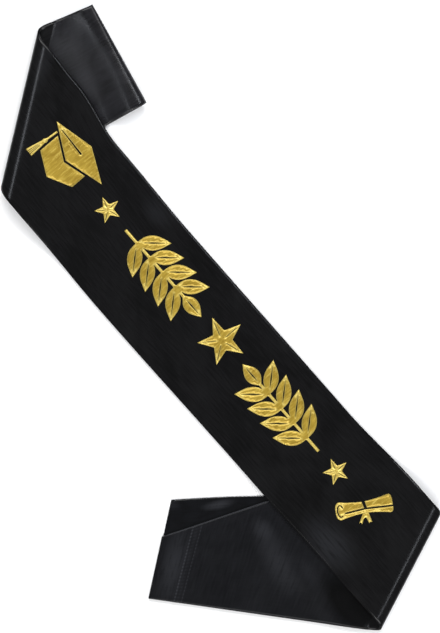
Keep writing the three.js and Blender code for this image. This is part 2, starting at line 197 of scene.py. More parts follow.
def tailWave(tail, point, placed, stop):
    outside = float(point @ frontAcross) * (1 if tail is topTail else -1) - sash["width"] / 2
    shown = ease((outside - waves["openFrom"]) / waves["openOver"])
    both = softNoise(point, waves["size"], 5.7) + waves["fineShare"] * softNoise(point, waves["fine"], 1.2)
    towardsEnd = mix(waves["leftAtEnd"], 1, ease((1 - stop) * waves["endRate"]))
    lift = waves["tail"] * shown * max(0.5 + both, 0) * towardsEnd
    if tail is topTail:
        spread = math.sin(math.tau * float(point @ along(tail["endLean"] + slack["lean"])) / slack["spacing"])
        return lift + slack["rise"] * shown * (0.5 + 0.5 * spread) * ease((1 - stop) * slack["endRate"])
    fromEnd = (1 - stop) * tail["length"]
    crest = bell(outside - ridge["across"], ridge["width"]) * mix(1, ridge["leftAtFar"], (placed + 1) / 2)
    lift += ridge["rise"] * crest * ease(fromEnd / ridge["calmNearEnd"])
    lift += seam["rise"] * bell(fromEnd - seam["fromEnd"], seam["width"])
    return lift + seam["secondRise"] * bell(fromEnd - seam["fromEnd"] - seam["second"], seam["width"])


def layerHeight(layer):
    return sash["halfLayer"] + layer * sash["pitch"]


shares = [mix(-1, 1, j / sash["columns"]) for j in range(sash["columns"] + 1)]


def frontRun(layer):
    rows = []
    for i in range(sash["frontRows"] + 1):
        plan = [frontPlan(i / sash["frontRows"], share) for share in shares]
        rows.append([(*p, layerHeight(1 - layer) + frontLift(p) + frontWave(p)) for p in plan])
    return rows


def foldRun(fold, layer):
    inset = layer * sash["pitch"]
    rows = []
    for i in range(1, sash["rollRows"]):
        turn = math.pi * i / sash["rollRows"]
        row = []
        for share in shares:
            p = mix(frontPlan((fold["side"] + 1) / 2, share), underLine(fold, share), i / sash["rollRows"])
            p = p + fold["outward"] * (fold["reach"] - inset) * math.sin(turn)
            row.append((*p, sash["halfLayer"] + fold["rise"] + (fold["rise"] - inset) * math.cos(turn)))
        rows.append(row)
    return rows


def turnedIn(tail, stop):
    if tail is topTail:
        return 1
    start = tail["turnedInFrom"]
    return mix(1, tail["turnedInShare"], clamp((stop - start) / (1 - start)))


def tailStops(tail):
    if tail is topTail:
        return [i / sash["topRows"] for i in range(sash["topRows"] + 1)]
    start, count = tail["turnedInFrom"], sash["bottomRows"]
    first = round(count * start)
    open_ = [start * i / first for i in range(first + 1)]
    return open_ + [mix(start, 1, i / (count - first)) for i in range(1, count - first + 1)]


def tailPoint(tail, layer, placed, stop):
    p = tailPlan(tail, placed, stop)
    z = layerHeight(layer)
    if layer:
        fromEnd = float(np.linalg.norm(p - turnStart(tail, placed)))
        z += (2 * riseAt(tail, placed) - sash["pitch"]) * (1 - ease(fromEnd / tail["runOut"]))
        z += tailWave(tail, p, placed, stop)
    return (*p, z)


def tailRun(tail, layer):
    rows = []
    for stop in tailStops(tail):
        narrow = turnedIn(tail, stop)
        rows.append([tailPoint(tail, layer, -1 + (share + 1) * narrow, stop) for share in shares])
    return rows


def endRun(tail):
    rows = []
    narrow = turnedIn(tail, 1)
    for i in range(1, sash["endRows"]):
        turn = math.pi * i / sash["endRows"]
        row = []
        for share in shares:
            placed = -1 + (share + 1) * narrow
            rise = riseAt(tail, placed)
            p = endLine(tail, placed) + tail["outward"] * rise * tail["reachShare"] * (math.sin(turn) - 1)
            row.append((*p, sash["halfLayer"] + rise * (1 - math.cos(turn))))
        rows.append(row)
    return rows


def freeEdges(faces):
    edges = {}
    for face in faces:
        for start, end in zip(face, (*face[1:], face[0])):
            if edges.pop((end, start), None) is None:
                edges[(start, end)] = True
    return list(edges)


# Gives a sheet its thickness: each face twice, and a wall along each free edge
def thicken(points, faces, wall):
    points = np.array(points, float)
    normals = np.zeros_like(points)
    for face in faces:
        a, b, c, d = (points[face[k]] for k in (0, 1, 2, -1))
        normal = np.cross(c - a, d - b) if len(face) == 4 else np.cross(b - a, c - a)
        for index in face:
            normals[index] += normal
    normals /= np.maximum(np.linalg.norm(normals, axis=1, keepdims=True), 1e-12)
    count = len(points)
    places = np.concatenate([points + normals * wall / 2, points - normals * wall / 2])
    both = [tuple(face) for face in faces] + [tuple(i + count for i in reversed(face)) for face in faces]
    return places, both + [(start, start + count, end + count, end) for start, end in freeEdges(faces)]


def addPiece(name, places, faces, materials):
    mesh = bpy.data.meshes.new(name)
    inFrame = (np.array(places) + (*sash["origin"], 0)) * mm
    mesh.from_pydata([tuple(p) for p in inFrame], [], [tuple(map(int, face)) for face in faces])
    for material in materials:
        mesh.materials.append(material)
    mesh.polygons.foreach_set("use_smooth", [True] * len(mesh.polygons))
    mesh.update()
    piece = bpy.data.objects.new(name, mesh)
    scene.collection.objects.link(piece)
    return piece


# A socket that takes part in sums; every operator adds one Math node
class Wire:
    def __init__(self, finish, socket):
        self.finish = finish
        self.socket = socket

    def math(self, operation, a, b=0.0):
        return self.finish.node("ShaderNodeMath", dict(operation=operation), {0: a, 1: b})

    def __add__(self, other):
        return self.math("ADD", self, other)

    def __radd__(self, other):
        return self.math("ADD", other, self)

    def __sub__(self, other):
        return self.math("SUBTRACT", self, other)

    def __rsub__(self, other):
        return self.math("SUBTRACT", other, self)

    def __mul__(self, other):
        return self.math("MULTIPLY", self, other)

    def __rmul__(self, other):
        return self.math("MULTIPLY", other, self)

    def __truediv__(self, other):
        return self.math("DIVIDE", self, other)

    # an operation on this value alone, such as a sine
    def taken(self, operation):
        return self.math(operation, self)

    def limited(self):
        return self.finish.node("ShaderNodeClamp", {}, {0: self})


class Finish:
    def __init__(self, name):
        self.material = bpy.data.materials.new(name)
        self.material.use_nodes = True
        self.tree = self.material.node_tree
        self.shader = self.tree.nodes["Principled BSDF"]

    def node(self, kind, settings, inputs, output=0):
        made = self.tree.nodes.new(kind)
        for key, value in settings.items():
            if key == "stops":
                for element, (at, colour) in zip(made.color_ramp.elements, value):
                    element.position, element.color = at, colour
            else:
                setattr(made, key, value)
        for key, value in inputs.items():
            if isinstance(value, Wire):
                self.tree.links.new(value.socket, made.inputs[key])
            else:
                made.inputs[key].default_value = value
        return Wire(self, made.outputs[output])

    def feed(self, **sockets):
        for name, value in sockets.items():
            socket = self.shader.inputs[name.replace("_", " ")]
            if isinstance(value, Wire):
                self.tree.links.new(value.socket, socket)
            else:
                socket.default_value = value

    def colours(self, share, a, b):
        a, b = ((*colour, 1) if isinstance(colour, tuple) else colour for colour in (a, b))
        return self.node("ShaderNodeMix", dict(data_type="RGBA"), {0: share, 6: a, 7: b}, output=2)

    def vectors(self, operation, a, b, output=0):
        return self.node("ShaderNodeVectorMath", dict(operation=operation), {0: a, 1: b}, output)

    # the cloth's own coordinates, in millimetres along and across the ribbon
    def clothPlace(self, scale=(1, 1, 1)):
        uv = self.node("ShaderNodeUVMap", dict(uv_map="cloth"), {})
        return self.vectors("MULTIPLY", uv, tuple(s / mm for s in scale))

    def noise(self, place, scale, detail=2.0, distortion=0.0):
        inputs = dict(Vector=place, Scale=scale, Detail=detail, Distortion=distortion)
        return self.node("ShaderNodeTexNoise", {}, inputs)

    # 0 below low, 1 above high, with an even slope between
    def between(self, wire, low, high):
        return self.node("ShaderNodeMapRange", {}, {0: wire, 1: low, 2: high, 3: 0.0, 4: 1.0})

    def bump(self, height, strength, distance):
        inputs = dict(Strength=strength, Distance=distance, Height=height)
        self.feed(Normal=self.node("ShaderNodeBump", {}, inputs))


# Satin: near-black, with fine lengthwise floats and faint paler mottles. Rib is the share of
# crosswise threads, and haze dulls the places of painted sheen below
# The front, top and bottom satins are one face of the same cloth; the tails' paler, bluer colours are a
# painted sheen
satins = dict(
    front=dict(
        dark=(0.0022, 0.0022, 0.0024), pale=(0.0068, 0.0068, 0.0073), mottle=42, cloud=0.6, rib=0.0,
        smooth=0.15, rough=0.2, grain=0.02, specular=0.16,
    ),
    top=dict(
        dark=(0.0032, 0.0032, 0.0039), pale=(0.0125, 0.0125, 0.0152), mottle=19, cloud=0.7, rib=0.12,
        smooth=0.18, rough=0.27, grain=0.06, specular=0.24, haze=0.36,
    ),
    bottom=dict(
        dark=(0.004, 0.0042, 0.0052), pale=(0.011, 0.0114, 0.0135), mottle=34, cloud=0.2, rib=0.75,
        smooth=0.26, rough=0.36, grain=0.08, specular=0.12,
    ),
    corner=dict(
        dark=(0.0018, 0.0019, 0.0024), pale=(0.0045, 0.005, 0.0065), mottle=14, cloud=0.5, rib=0.3,
        smooth=0.16, rough=0.22, grain=0.03, specular=0.2,
    ),
)
# What every satin shares: repeats a millimetre along and across, how noise turns into tone, and how the weave
# streaks the painted sheen
weaving = dict(
    floats=(0.06, 0.7, 1), threads=(0.6, 0.05, 1), detail=3.0, swirl=0.6, mottleFrom=0.36, mottleTo=0.7,
    middle=0.38, contrast=1.5, sheenMiddle=0.6, sheenContrast=3.2, bump=0.0006,
)
# Painted sheen and painted shade on the satin: spots painted paler where its sheen catches the light, and
# one painted darker (negative strength) as the shade in the hollow of the right fold: x, y, half
# length and half width in millimetres from the sash's middle, turn in degrees, and how strongly
paintedSheenAndShade = dict(
    front=[(86, -181, 34, 20, -50, 0.5), (-52, 84, 20, 12, -50, 0.25), (-140, 205, 34, 9, 75, 0.2)],
    top=[(-122, 204, 40, 17, -62, 0.22), (-99, 196, 66, 21, -60.5, 0.03)],
    bottom=[
        (45, -194, 48, 15, -61, 0.42), (34, -170, 14, 10, -50, 0.5), (-38, -198, 40, 13, 78, 0.6),
        (80, -216, 44, 9, -50, 0.25), (106, -233, 52, 20, -44, -1.6),
    ],
    corner=[(-2, -150, 17, 5, 12, 0.8), (-40, -150, 10, 6, 0, 0.3)],
)
# The paler colour mixed in as painted sheen, and below it the dark colour mixed in as painted shade
paintedSheenTint = (0.024, 0.025, 0.029)
paintedShadeTint = (0.0003, 0.0003, 0.0004)
# The joining seam shows as two faint stitched lines across the bottom tail; their paler colour is a painted
# sheen on the seam's ridge
stitchSheen = dict(
    pitch=4.2, depth=0.4, colour=(0.045, 0.047, 0.054),
    lines=[(22, 1.0, 0.6), (28.5, 0.8, 0.35), (25, 2.2, 0.14)],  # from the end, half width, strength
)


# 1 in the middle of an oval spot on the sash, and 0 from its rim on
def nearSpot(finish, x, y, length, width, turn):
    where = finish.node("ShaderNodeTexCoord", {}, {}, output=3)
    fromMiddle = finish.vectors("SUBTRACT", where, (x * mm, y * mm, 0))
    reach = 0
    for degrees, half in ((turn, length), (turn + 90, width)):
        c, s = along(degrees) / (half * mm)
        part = finish.vectors("DOT_PRODUCT", fromMiddle, (c, s, 0), output=1)
        reach = part * part + reach
    near = (1 - reach).limited()
    return near * near


# Painted sheen along the seam: paler lines across the tail, broken into stitches
def stitchedSheen(finish, colour, place, seams):
    run = finish.node("ShaderNodeSeparateXYZ", {}, {0: place})
    across = finish.node("ShaderNodeSeparateXYZ", {}, {0: place}, output=1)
    ticks = (across * (math.tau / stitchSheen["pitch"])).taken("SINE") * stitchSheen["depth"] + 1 - stitchSheen["depth"]
    for seamAt, halfWidth, strength in seams:
        offset = (run - seamAt).taken("ABSOLUTE")
        line = (1 - offset / halfWidth).limited() * ticks * strength
        colour = finish.colours(line.limited(), colour, stitchSheen["colour"])
    return colour


def satin(name, look, spots=(), seams=()):
    finish = Finish(name)
    place = finish.clothPlace()
    clouds = finish.noise(place, 1 / look["mottle"], weaving["detail"], weaving["swirl"])
    mottle = finish.between(clouds, weaving["mottleFrom"], weaving["mottleTo"])
    floats = finish.noise(finish.clothPlace(weaving["floats"]), 1.0, weaving["detail"])
    threads = finish.noise(finish.clothPlace(weaving["threads"]), 1.0, weaving["detail"])
    weave = (1 - look["rib"]) * floats + look["rib"] * threads
    pale = (mottle * look["cloud"] + (weave - weaving["middle"]) * weaving["contrast"]).limited()
    colour = finish.colours(pale, look["dark"], look["pale"])
    haze = 0
    # Painted sheen and painted shade: a spot with positive strength mixes in the paler sheen colour, streaked
    # by the weave, and one with negative strength mixes in the dark shade colour
    for *oval, strength in spots:
        near = nearSpot(finish, *oval)
        if "haze" in look:
            haze = near * look["haze"] + haze
        near = near * abs(strength)
        if strength > 0:
            near = near * (weave * weaving["sheenContrast"] - weaving["sheenMiddle"]).limited()
        colour = finish.colours(near.limited(), colour, paintedSheenTint if strength > 0 else paintedShadeTint)
    if seams:
        colour = stitchedSheen(finish, colour, place, seams)
    shine = look["smooth"] + (look["rough"] - look["smooth"]) * (mottle * 0.5 + weave * 0.5)
    finish.feed(Base_Color=colour, Roughness=(shine + haze).limited(), Specular_IOR_Level=look["specular"])
    finish.bump(weave, look["grain"], weaving["bump"])
    return finish.material


satinNames = ["front", "top", "bottom", "corner"]

# The whole loop of cloth, run by run: which satin each run shows, and its rows
runs = [
    ("bottom", tailRun(bottomTail, 0)[::-1]),
    ("front", foldRun(rightFold, 0)[::-1]),
    ("front", frontRun(0)[::-1]),
    ("front", foldRun(leftFold, 0)),
    ("top", tailRun(topTail, 0)),
    ("top", endRun(topTail)),
    ("top", tailRun(topTail, 1)[::-1]),
    ("front", foldRun(leftFold, 1)[::-1]),
    ("front", frontRun(1)),
    ("front", foldRun(rightFold, 1)),
    ("bottom", tailRun(bottomTail, 1)),
    ("bottom", endRun(bottomTail)[::-1]),
]
rows = [row for _, run in runs for row in run]
kinds = [satinNames.index(name) for name, run in runs for _ in run]
wide = sash["columns"] + 1
points = [point for row in rows for point in row]
middles = [np.array(row[len(row) // 2]) for row in rows]
travelled = [0.0]
for i in range(len(rows)):
    travelled.append(travelled[-1] + float(np.linalg.norm(middles[(i + 1) % len(rows)] - middles[i])))
print("cloth finishes")
sewnEnd = len(rows) - (sash["endRows"] - 1) - 1
seamPlaces = [(travelled[sewnEnd] - fromEnd, half, strength) for fromEnd, half, strength in stitchSheen["lines"]]
satinMaterials = [
    satin(f"satin_{name}", satins[name], paintedSheenAndShade[name], seamPlaces if name == "bottom" else ())
    for name in satinNames
]
clothUv = [(travelled[i], share * sash["width"] / 2) for i in range(len(rows)) for share in shares]
faces, faceKinds = [], []
for i in range(len(rows)):
    after = (i + 1) % len(rows)
    for j in range(wide - 1):
        faces.append((i * wide + j, i * wide + j + 1, after * wide + j + 1, after * wide + j))
        faceKinds.append(kinds[i])

# The corner of the bottom tail's lower layer that the turned-in upper layer leaves bare
corner = dict(columns=16, puff=0.35, puffRate=8)
stops = [stop for stop in tailStops(bottomTail) if stop >= bottomTail["turnedInFrom"]]
cornerRows = []
for k, stop in enumerate(reversed(stops)):
    narrow = turnedIn(bottomTail, stop)
    row = [k * wide + wide - 1]
    for j in range(1, corner["columns"] + 1):
        share = mix(narrow, 1, j / corner["columns"])
        if narrow < 1:
            x, y, z = tailPoint(bottomTail, 0, -1 + 2 * share, stop)
            arch = math.sin(math.pi * j / corner["columns"]) * ease((share - narrow) * corner["puffRate"])
            points.append((x, y, z + corner["puff"] * arch))
            clothUv.append((travelled[k], share * sash["width"] - sash["width"] / 2))
            row.append(len(points) - 1)
        else:
            row.append(row[0])
    cornerRows.append(row)
for before, row in zip(cornerRows, cornerRows[1:]):
    for j in range(corner["columns"]):
        face = list(dict.fromkeys((before[j], before[j + 1], row[j + 1], row[j])))
        if len(face) > 2:
            faces.append(tuple(face))
            faceKinds.append(satinNames.index("corner"))

print("cloth", len(rows), "rows")
places, clothFaces = thicken(points, faces, sash["wall"])
cloth = addPiece("satin_sash", places, clothFaces, satinMaterials)
walls = len(clothFaces) - 2 * len(faces)
cloth.data.polygons.foreach_set("material_index", faceKinds * 2 + [0] * walls)
uvLayer = cloth.data.uv_layers.new(name="cloth")
lastRow = (len(rows) - 1) * wide
for polygon in cloth.data.polygons:
    corners = [cloth.data.loops[k].vertex_index % len(points) for k in polygon.loop_indices]
    closes = any(lastRow <= c < len(rows) * wide for c in corners)  # the face that closes the loop
    for k, c in zip(polygon.loop_indices, corners):
        u, v = clothUv[c]
        if closes and c < wide:
            u = travelled[-1]
        uvLayer.data[k].uv = (u * mm, v * mm)
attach(cloth, "root")
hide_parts("sash_ribbon")

# The rolled lip of the turned-in upper layer, which catches the light along its slant; its satin is painted
# much paler than the tail's, a painted highlight
lip = dict(radius=0.55, sides=10, steps=48, tipShare=0.35, taper=0.3, start=0.01, end=0.995)
lipHighlightLook = dict(
    satins["bottom"], dark=(0.012, 0.0125, 0.015), pale=(0.05, 0.052, 0.06), smooth=0.34, rough=0.5,
)


def lipTube(path):
    sides = lip["sides"]
    made, skin = [], []
    path = [np.array(p, float) for p in path]
    for i, p in enumerate(path):
        run = path[min(i + 1, len(path) - 1)] - path[max(i - 1, 0)]
        run /= np.linalg.norm(run)
        sideways = np.cross(run, (0, 0, 1))
        sideways /= np.linalg.norm(sideways)
        upwards = np.cross(sideways, run)
        thin = lip["radius"] * min(1, lip["tipShare"] + min(i, len(path) - 1 - i) * lip["taper"])
        for k in range(sides):
            turn = math.tau * k / sides
            made.append(p + thin * (math.cos(turn) * sideways + math.sin(turn) * upwards))
    for i in range(len(path) - 1):
        for k in range(sides):
            after = (k + 1) % sides
            skin.append((i * sides + k, (i + 1) * sides + k, (i + 1) * sides + after, i * sides + after))
    ends = [tuple(range(sides)), tuple(range(len(made) - 1, len(made) - sides - 1, -1))]
    return made, skin + ends


lipPath = []
for i in range(lip["steps"] + 1):
    stop = mix(bottomTail["turnedInFrom"] + lip["start"], lip["end"], i / lip["steps"])
    lipPath.append(tailPoint(bottomTail, 1, -1 + 2 * turnedIn(bottomTail, stop), stop))
lipPiece = addPiece("turned_in_lip", *lipTube(lipPath), [satin("satin_lip", lipHighlightLook)])
lipPiece.data.uv_layers.new(name="cloth")
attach(lipPiece, "root")

# Foil: outlines on the front strip in millimetres, along it and across it
foil = dict(above=0.14, thickness=0.12, grid=2.4, edgeStep=1.6, merge=0.0001, pillow=0.1, pillowOver=1.4)


def turned(outline, u, v, degrees):
    c, s = along(degrees)
    return [(u + c * x - s * y, v + s * x + c * y) for x, y in outline]


def inside(outline, place):
    x, y = place[:, 0], place[:, 1]
    hits = np.zeros(len(place), bool)
    for (x0, y0), (x1, y1) in zip(outline, outline[1:] + outline[:1]):
        crosses = (y0 > y) != (y1 > y)
        if y0 != y1:
            hits ^= crosses & (x < (x1 - x0) * (y - y0) / (y1 - y0) + x0)
    return hits


def covered(place, outlines, cuts):
    inAny = np.zeros(len(place), bool)
    for outline in outlines:
        inAny |= inside(outline, place)
    for cut in cuts:
        inAny &= ~inside(cut, place)
    return inAny


def closeness(place, edges):
    nearest = np.full(len(place), 1e9)
    for a, b in edges:
        run = b - a
        t = np.clip(((place - a) @ run) / max(run @ run, 1e-12), 0, 1)
        nearest = np.minimum(nearest, np.linalg.norm(place - a - t[:, None] * run, axis=1))
    return nearest


# The outlines as points a short step apart, and the edges between them
def stepped(outlines):
    ring, edges = [], []
    for outline in outlines:
        first = len(ring)
        for (x0, y0), (x1, y1) in zip(outline, outline[1:] + outline[:1]):
            count = max(1, round(math.dist((x0, y0), (x1, y1)) / foil["edgeStep"]))
            ring += [(mix(x0, x1, k / count), mix(y0, y1, k / count)) for k in range(count)]
        edges += [(k, k + 1) for k in range(first, len(ring) - 1)] + [(len(ring) - 1, first)]
    return ring, edges


# Points and triangles that fill the outlines and leave out the cuts
def filled(outlines, cuts):
    ring, edges = stepped(outlines + cuts)
    low, high = np.min(ring, axis=0), np.max(ring, axis=0)
    us = np.arange(low[0], high[0], foil["grid"])
    vs = np.arange(low[1], high[1], foil["grid"])
    grid = np.array([(u + (row % 2) * foil["grid"] / 2, v) for row, v in enumerate(vs) for u in us])
    lines = [(np.array(ring[a]), np.array(ring[b])) for a, b in edges]
    grid = grid[covered(grid, outlines, cuts) & (closeness(grid, lines) > foil["grid"] / 3)]
    given = [Vector(p) for p in ring] + [Vector(p) for p in grid]
    flat, _, triangles, _, _, _ = delaunay_2d_cdt(given, edges, [], 0, foil["merge"])
    flat = np.array([tuple(p) for p in flat])
    centres = np.array([flat[list(t)].mean(axis=0) for t in triangles])
    kept = [tuple(t) for t, keep in zip(triangles, covered(centres, outlines, cuts)) if keep]
    used = sorted({k for t in kept for k in t})
    renumbered = {old: new for new, old in enumerate(used)}
    return flat[used], [tuple(renumbered[k] for k in t) for t in kept]


def foilPiece(name, outlines, cuts, node, material):
    flat, triangles = filled(outlines, cuts)
    fromRim = closeness(flat, [(flat[a], flat[b]) for a, b in freeEdges(triangles)])
    base = layerHeight(1) + sash["wall"] / 2 + foil["above"] + foil["thickness"] / 2
    laid = []
    for (u, v), near in zip(flat, fromRim):
        p = frontAlong * u + frontAcross * v
        pillow = foil["pillow"] * ease(near / foil["pillowOver"])
        laid.append((*p, base + frontLift(p) + frontWave(p) + pillow))
    places, foilFaces = thicken(laid, triangles, foil["thickness"])
    piece = addPiece(name, places, foilFaces, [material])
    rimLayer = piece.data.attributes.new("fromRim", "FLOAT", "POINT")
    rimLayer.data.foreach_set("value", np.concatenate([fromRim, fromRim]).astype(np.float32))
    uvLayer = piece.data.uv_layers.new(name="cloth")
    for loop in piece.data.loops:
        u, v = flat[loop.vertex_index % len(flat)]
        uvLayer.data[loop.index].uv = (u * mm, v * mm)
    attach(piece, "root")
    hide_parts(node)
    return piece


# Pressed gold foil: brushed streaks across the strip with painted glints, and a painted highlight paler along
# every rim
gold = dict(
    deep=(0.30, 0.19, 0.013), body=(0.47, 0.32, 0.036), pale=(0.68, 0.53, 0.13), metallic=0.45, smooth=0.3,
    rough=0.5, streak=(0.75, 0.1, 1), streakSwirl=0.4, patch=0.06, patchSwirl=0.8, grain=1.1,
    streakShare=0.6, shadeFrom=0.36, shadeTo=0.62, glintShare=0.7, glintFrom=0.55, glintTo=0.78,
    rimFrom=0.15, rimWidth=0.9, rimStrength=0.75, bump=0.25, bumpHeight=0.0004,
)


def goldFoil():
    finish = Finish("gold_foil")
    streaks = finish.noise(finish.clothPlace(gold["streak"]), 1.0, 3.0, gold["streakSwirl"])
    patches = finish.noise(finish.clothPlace(), gold["patch"], 2.0, gold["patchSwirl"])
    grain = finish.noise(finish.clothPlace(), gold["grain"], 2.0)
    share, glints = gold["streakShare"], gold["glintShare"]
    shade = finish.between(streaks * share + patches * (1 - share), gold["shadeFrom"], gold["shadeTo"])
    glint = finish.between(streaks * glints + grain * (1 - glints), gold["glintFrom"], gold["glintTo"])
    body = finish.colours(glint, finish.colours(shade, gold["deep"], gold["body"]), gold["pale"])
    fromRim = finish.node("ShaderNodeAttribute", dict(attribute_name="fromRim"), {}, output=2)
    # a painted highlight: the colour turns pale near each rim of the foil
    rim = (1 - finish.between(fromRim, gold["rimFrom"], gold["rimWidth"])) * gold["rimStrength"]
    shine = gold["smooth"] + (gold["rough"] - gold["smooth"]) * (streaks + grain * 0.4 - 0.1)
    finish.feed(Base_Color=finish.colours(rim, body, gold["pale"]), Roughness=shine.limited())
    finish.feed(Metallic=gold["metallic"])
    finish.bump(streaks * share + grain * (1 - share), gold["bump"], gold["bumpHeight"])
    return finish.material


print("foil")
goldMaterial = goldFoil()

cap = dict(
    u=-186, v=18, boardWidth=61, boardHeight=23, slant=2.4, leftRise=3.7, rightDrop=2.3,
    knot=(2, 1), cordTo=(0.78, 0.5), cordWide=1.52, cordNarrow=0.48,
)
hood = dict(width=38, depth=20, sideDepth=10, gap=1.9)


def bar(start, end, width, endWidth=None):
    start, end = np.array(start, float), np.array(end, float)
    run = (end - start) / np.linalg.norm(end - start)
    side = np.array([-run[1], run[0]]) / 2
    far = side * (width if endWidth is None else endWidth)
    return [tuple(start - side * width), tuple(end - far), tuple(end + far), tuple(start + side * width)]


w, h = cap["boardWidth"] / 2, cap["boardHeight"] / 2
diamond = [(-w, cap["leftRise"]), (-cap["slant"], -h), (w, -cap["rightDrop"]), (cap["slant"], h)]
board = turned(diamond, cap["u"], cap["v"], 0)
boardLeft, boardBottom, boardRight = board[:3]
# the cord lies over the board from its middle to the edge where the tassel hangs
knot = (cap["u"] + cap["knot"][0], cap["v"] + cap["knot"][1])
cordEnd = tuple(mix(a, b, share) for a, b, share in zip(knot, boardLeft, cap["cordTo"]))
cordCuts = [bar(knot, cordEnd, cap["cordWide"], cap["cordNarrow"])]
foilPiece("foil_board", [board], cordCuts, "foil_cap_board", goldMaterial)


def underBoard(u):
    (u0, v0), (u1, v1) = (boardLeft, boardBottom) if u < boardBottom[0] else (boardBottom, boardRight)
    return mix(v0, v1, (u - u0) / (u1 - u0))


def crown():
    u, v = boardBottom
    half, gap = hood["width"] / 2, hood["gap"]
    under = [(u - half, v - hood["sideDepth"]), (u, v - hood["depth"]), (u + half, v - hood["sideDepth"])]
    return under + [(at, underBoard(at) - gap) for at in (u + half, u, u - half)]


foilPiece("foil_crown", [crown()], [], "foil_cap_crown", goldMaterial)


# Down the tassel and half its width there, as shares; a strand starts part way down and spreads
fringe = dict(
    length=28, inset=6.5, width=6, lean=2.4, strandShifts=(-0.24, 0.0, 0.24), strandFrom=0.62,
    strandTo=1.02, strandLean=0.6, strandWidth=0.5,
    profile=[
        (0, 0.13), (0.34, 0.12), (0.38, 0.24), (0.43, 0.32), (0.48, 0.24), (0.55, 0.3), (0.8, 0.46),
        (1, 0.58),
    ],
)


def tassel():
    hang = boardLeft[0] + fringe["inset"]
    top = underBoard(hang + fringe["width"] / 2)

    def side(sign):
        outline = []
        for down, half in fringe["profile"]:
            across = hang - fringe["lean"] * down + sign * half * fringe["width"]
            outline.append((across, top - down * fringe["length"]))
        return outline

    strands = []
    for shift in fringe["strandShifts"]:
        startAt = hang - fringe["lean"] * fringe["strandLean"] + shift * fringe["width"] / 2
        endAt = hang - fringe["lean"] + shift * fringe["width"]
        start = (startAt, top - fringe["strandFrom"] * fringe["length"])
        end = (endAt, top - fringe["strandTo"] * fringe["length"])
        strands.append(bar(start, end, fringe["strandWidth"] / 2, fringe["strandWidth"]))
    return side(-1) + side(1)[::-1], strands


tasselOutline, strandCuts = tassel()
foilPiece("foil_tassel", [tasselOutline], strandCuts, "foil_cap_tassel", goldMaterial)

# The diploma: place along it and half its width there, as shares of half the length and of the
# width; its lines have a start, an end and their width at each
scroll = dict(
    u=177, v=4, turn=59, length=46, width=12, waist=0.38,
    profile=[
        (-1, 0.22), (-0.98, 0.4), (-0.94, 0.52), (-0.87, 0.6), (-0.78, 0.58), (-0.6, 0.5), (-0.3, 0.42),
        (0, 0.38), (0.3, 0.42), (0.6, 0.5), (0.86, 0.6), (0.93, 0.6), (0.98, 0.5), (1, 0.3),
    ],
    edgeLine=1.3, lines=[
        ((-0.68, -0.2), (0.04, -0.1), 1.0, 1.0), ((0.04, -0.1), (1.02, -0.2), 1.0, 1.0),
        ((-0.02, 0.6), (0.06, -0.16), 2.2, 1.5),
    ],
    spiralAt=-0.83, spiralAlong=0.2, spiralAcross=0.4, spiralFrom=-0.15, spiralTo=1.45, spiralTilt=0.9,
    spiralSteps=22, spiralLine=0.75,
)


def scrollShape():
    half, wide = scroll["length"] / 2, scroll["width"]
    shape = [(at * half, -share * wide) for at, share in scroll["profile"]]
    shape += [(at * half, share * wide) for at, share in reversed(scroll["profile"])]
    # the near end shows its roll as an open spiral, and the sheet's edge runs from it to the far end
    ring = []
    for i in range(scroll["spiralSteps"] + 1):
        turn = mix(scroll["spiralFrom"], scroll["spiralTo"], i / scroll["spiralSteps"]) * math.pi
        turn += scroll["spiralTilt"]
        u = half * scroll["spiralAt"] + scroll["spiralAlong"] * wide * math.cos(turn)
        ring.append((u, scroll["spiralAcross"] * wide * math.sin(turn)))
    cuts = [bar(a, b, scroll["edgeLine"] * scroll["spiralLine"]) for a, b in zip(ring, ring[1:])]
    for (u0, v0), (u1, v1), first, last in scroll["lines"]:
        widths = (scroll["edgeLine"] * first, scroll["edgeLine"] * last)
        cuts.append(bar((half * u0, wide * v0), (half * u1, wide * v1), *widths))
    return shape, cuts


def atScroll(outline):
    return turned(outline, scroll["u"], scroll["v"], scroll["turn"])


scrollOutline, scrollCuts = scrollShape()
scrollCuts = [atScroll(cut) for cut in scrollCuts]
foilPiece("foil_diploma", [atScroll(scrollOutline)], scrollCuts, "foil_scroll", goldMaterial)

# The tie's two ribbon ends: across and down, as shares of its width and length
tie = dict(
    width=6, length=8.4, gap=0.3,
    outline=[
        (-0.3, 0), (-0.62, 0.4), (-1, 0.86), (-0.76, 0.78), (-0.62, 0.98), (-0.3, 0.5), (0.02, 0.36),
        (0.2, 0.7), (0.3, 1), (0.5, 0.84), (0.74, 0.94), (0.62, 0.5), (0.5, 0),
    ],
)
tieTop = -scroll["waist"] * scroll["width"] - tie["gap"]
tieOutline = [(x * tie["width"], tieTop - y * tie["length"]) for x, y in tie["outline"]]
foilPiece("foil_tie", [atScroll(tieOutline)], [], "foil_scroll_tie", goldMaterial)

# Stars and laurel between the cap and the diploma
ornament = dict(
    start=-148, end=152, v=6, height=44, star=20, outerStar=11, gap=5, starInner=0.42, starRib=0.4,
    starRibFrom=0.18, starRibTo=0.8, leafPitch=15.5, leafWidth=12, leafTurn=48, rootShare=0.35, tipShare=0.8,
    stem=2.4, stemFrom=0.4, stemTo=0.8,
)
# a leaf's half width at even steps along it, and its rib: both ends, the middle and half its width
leafEdge = [0, 0.2, 0.36, 0.46, 0.5, 0.5, 0.46, 0.38, 0.26, 0.13, 0]
leafRib = dict(start=0.16, middle=0.45, end=0.86, half=0.55)


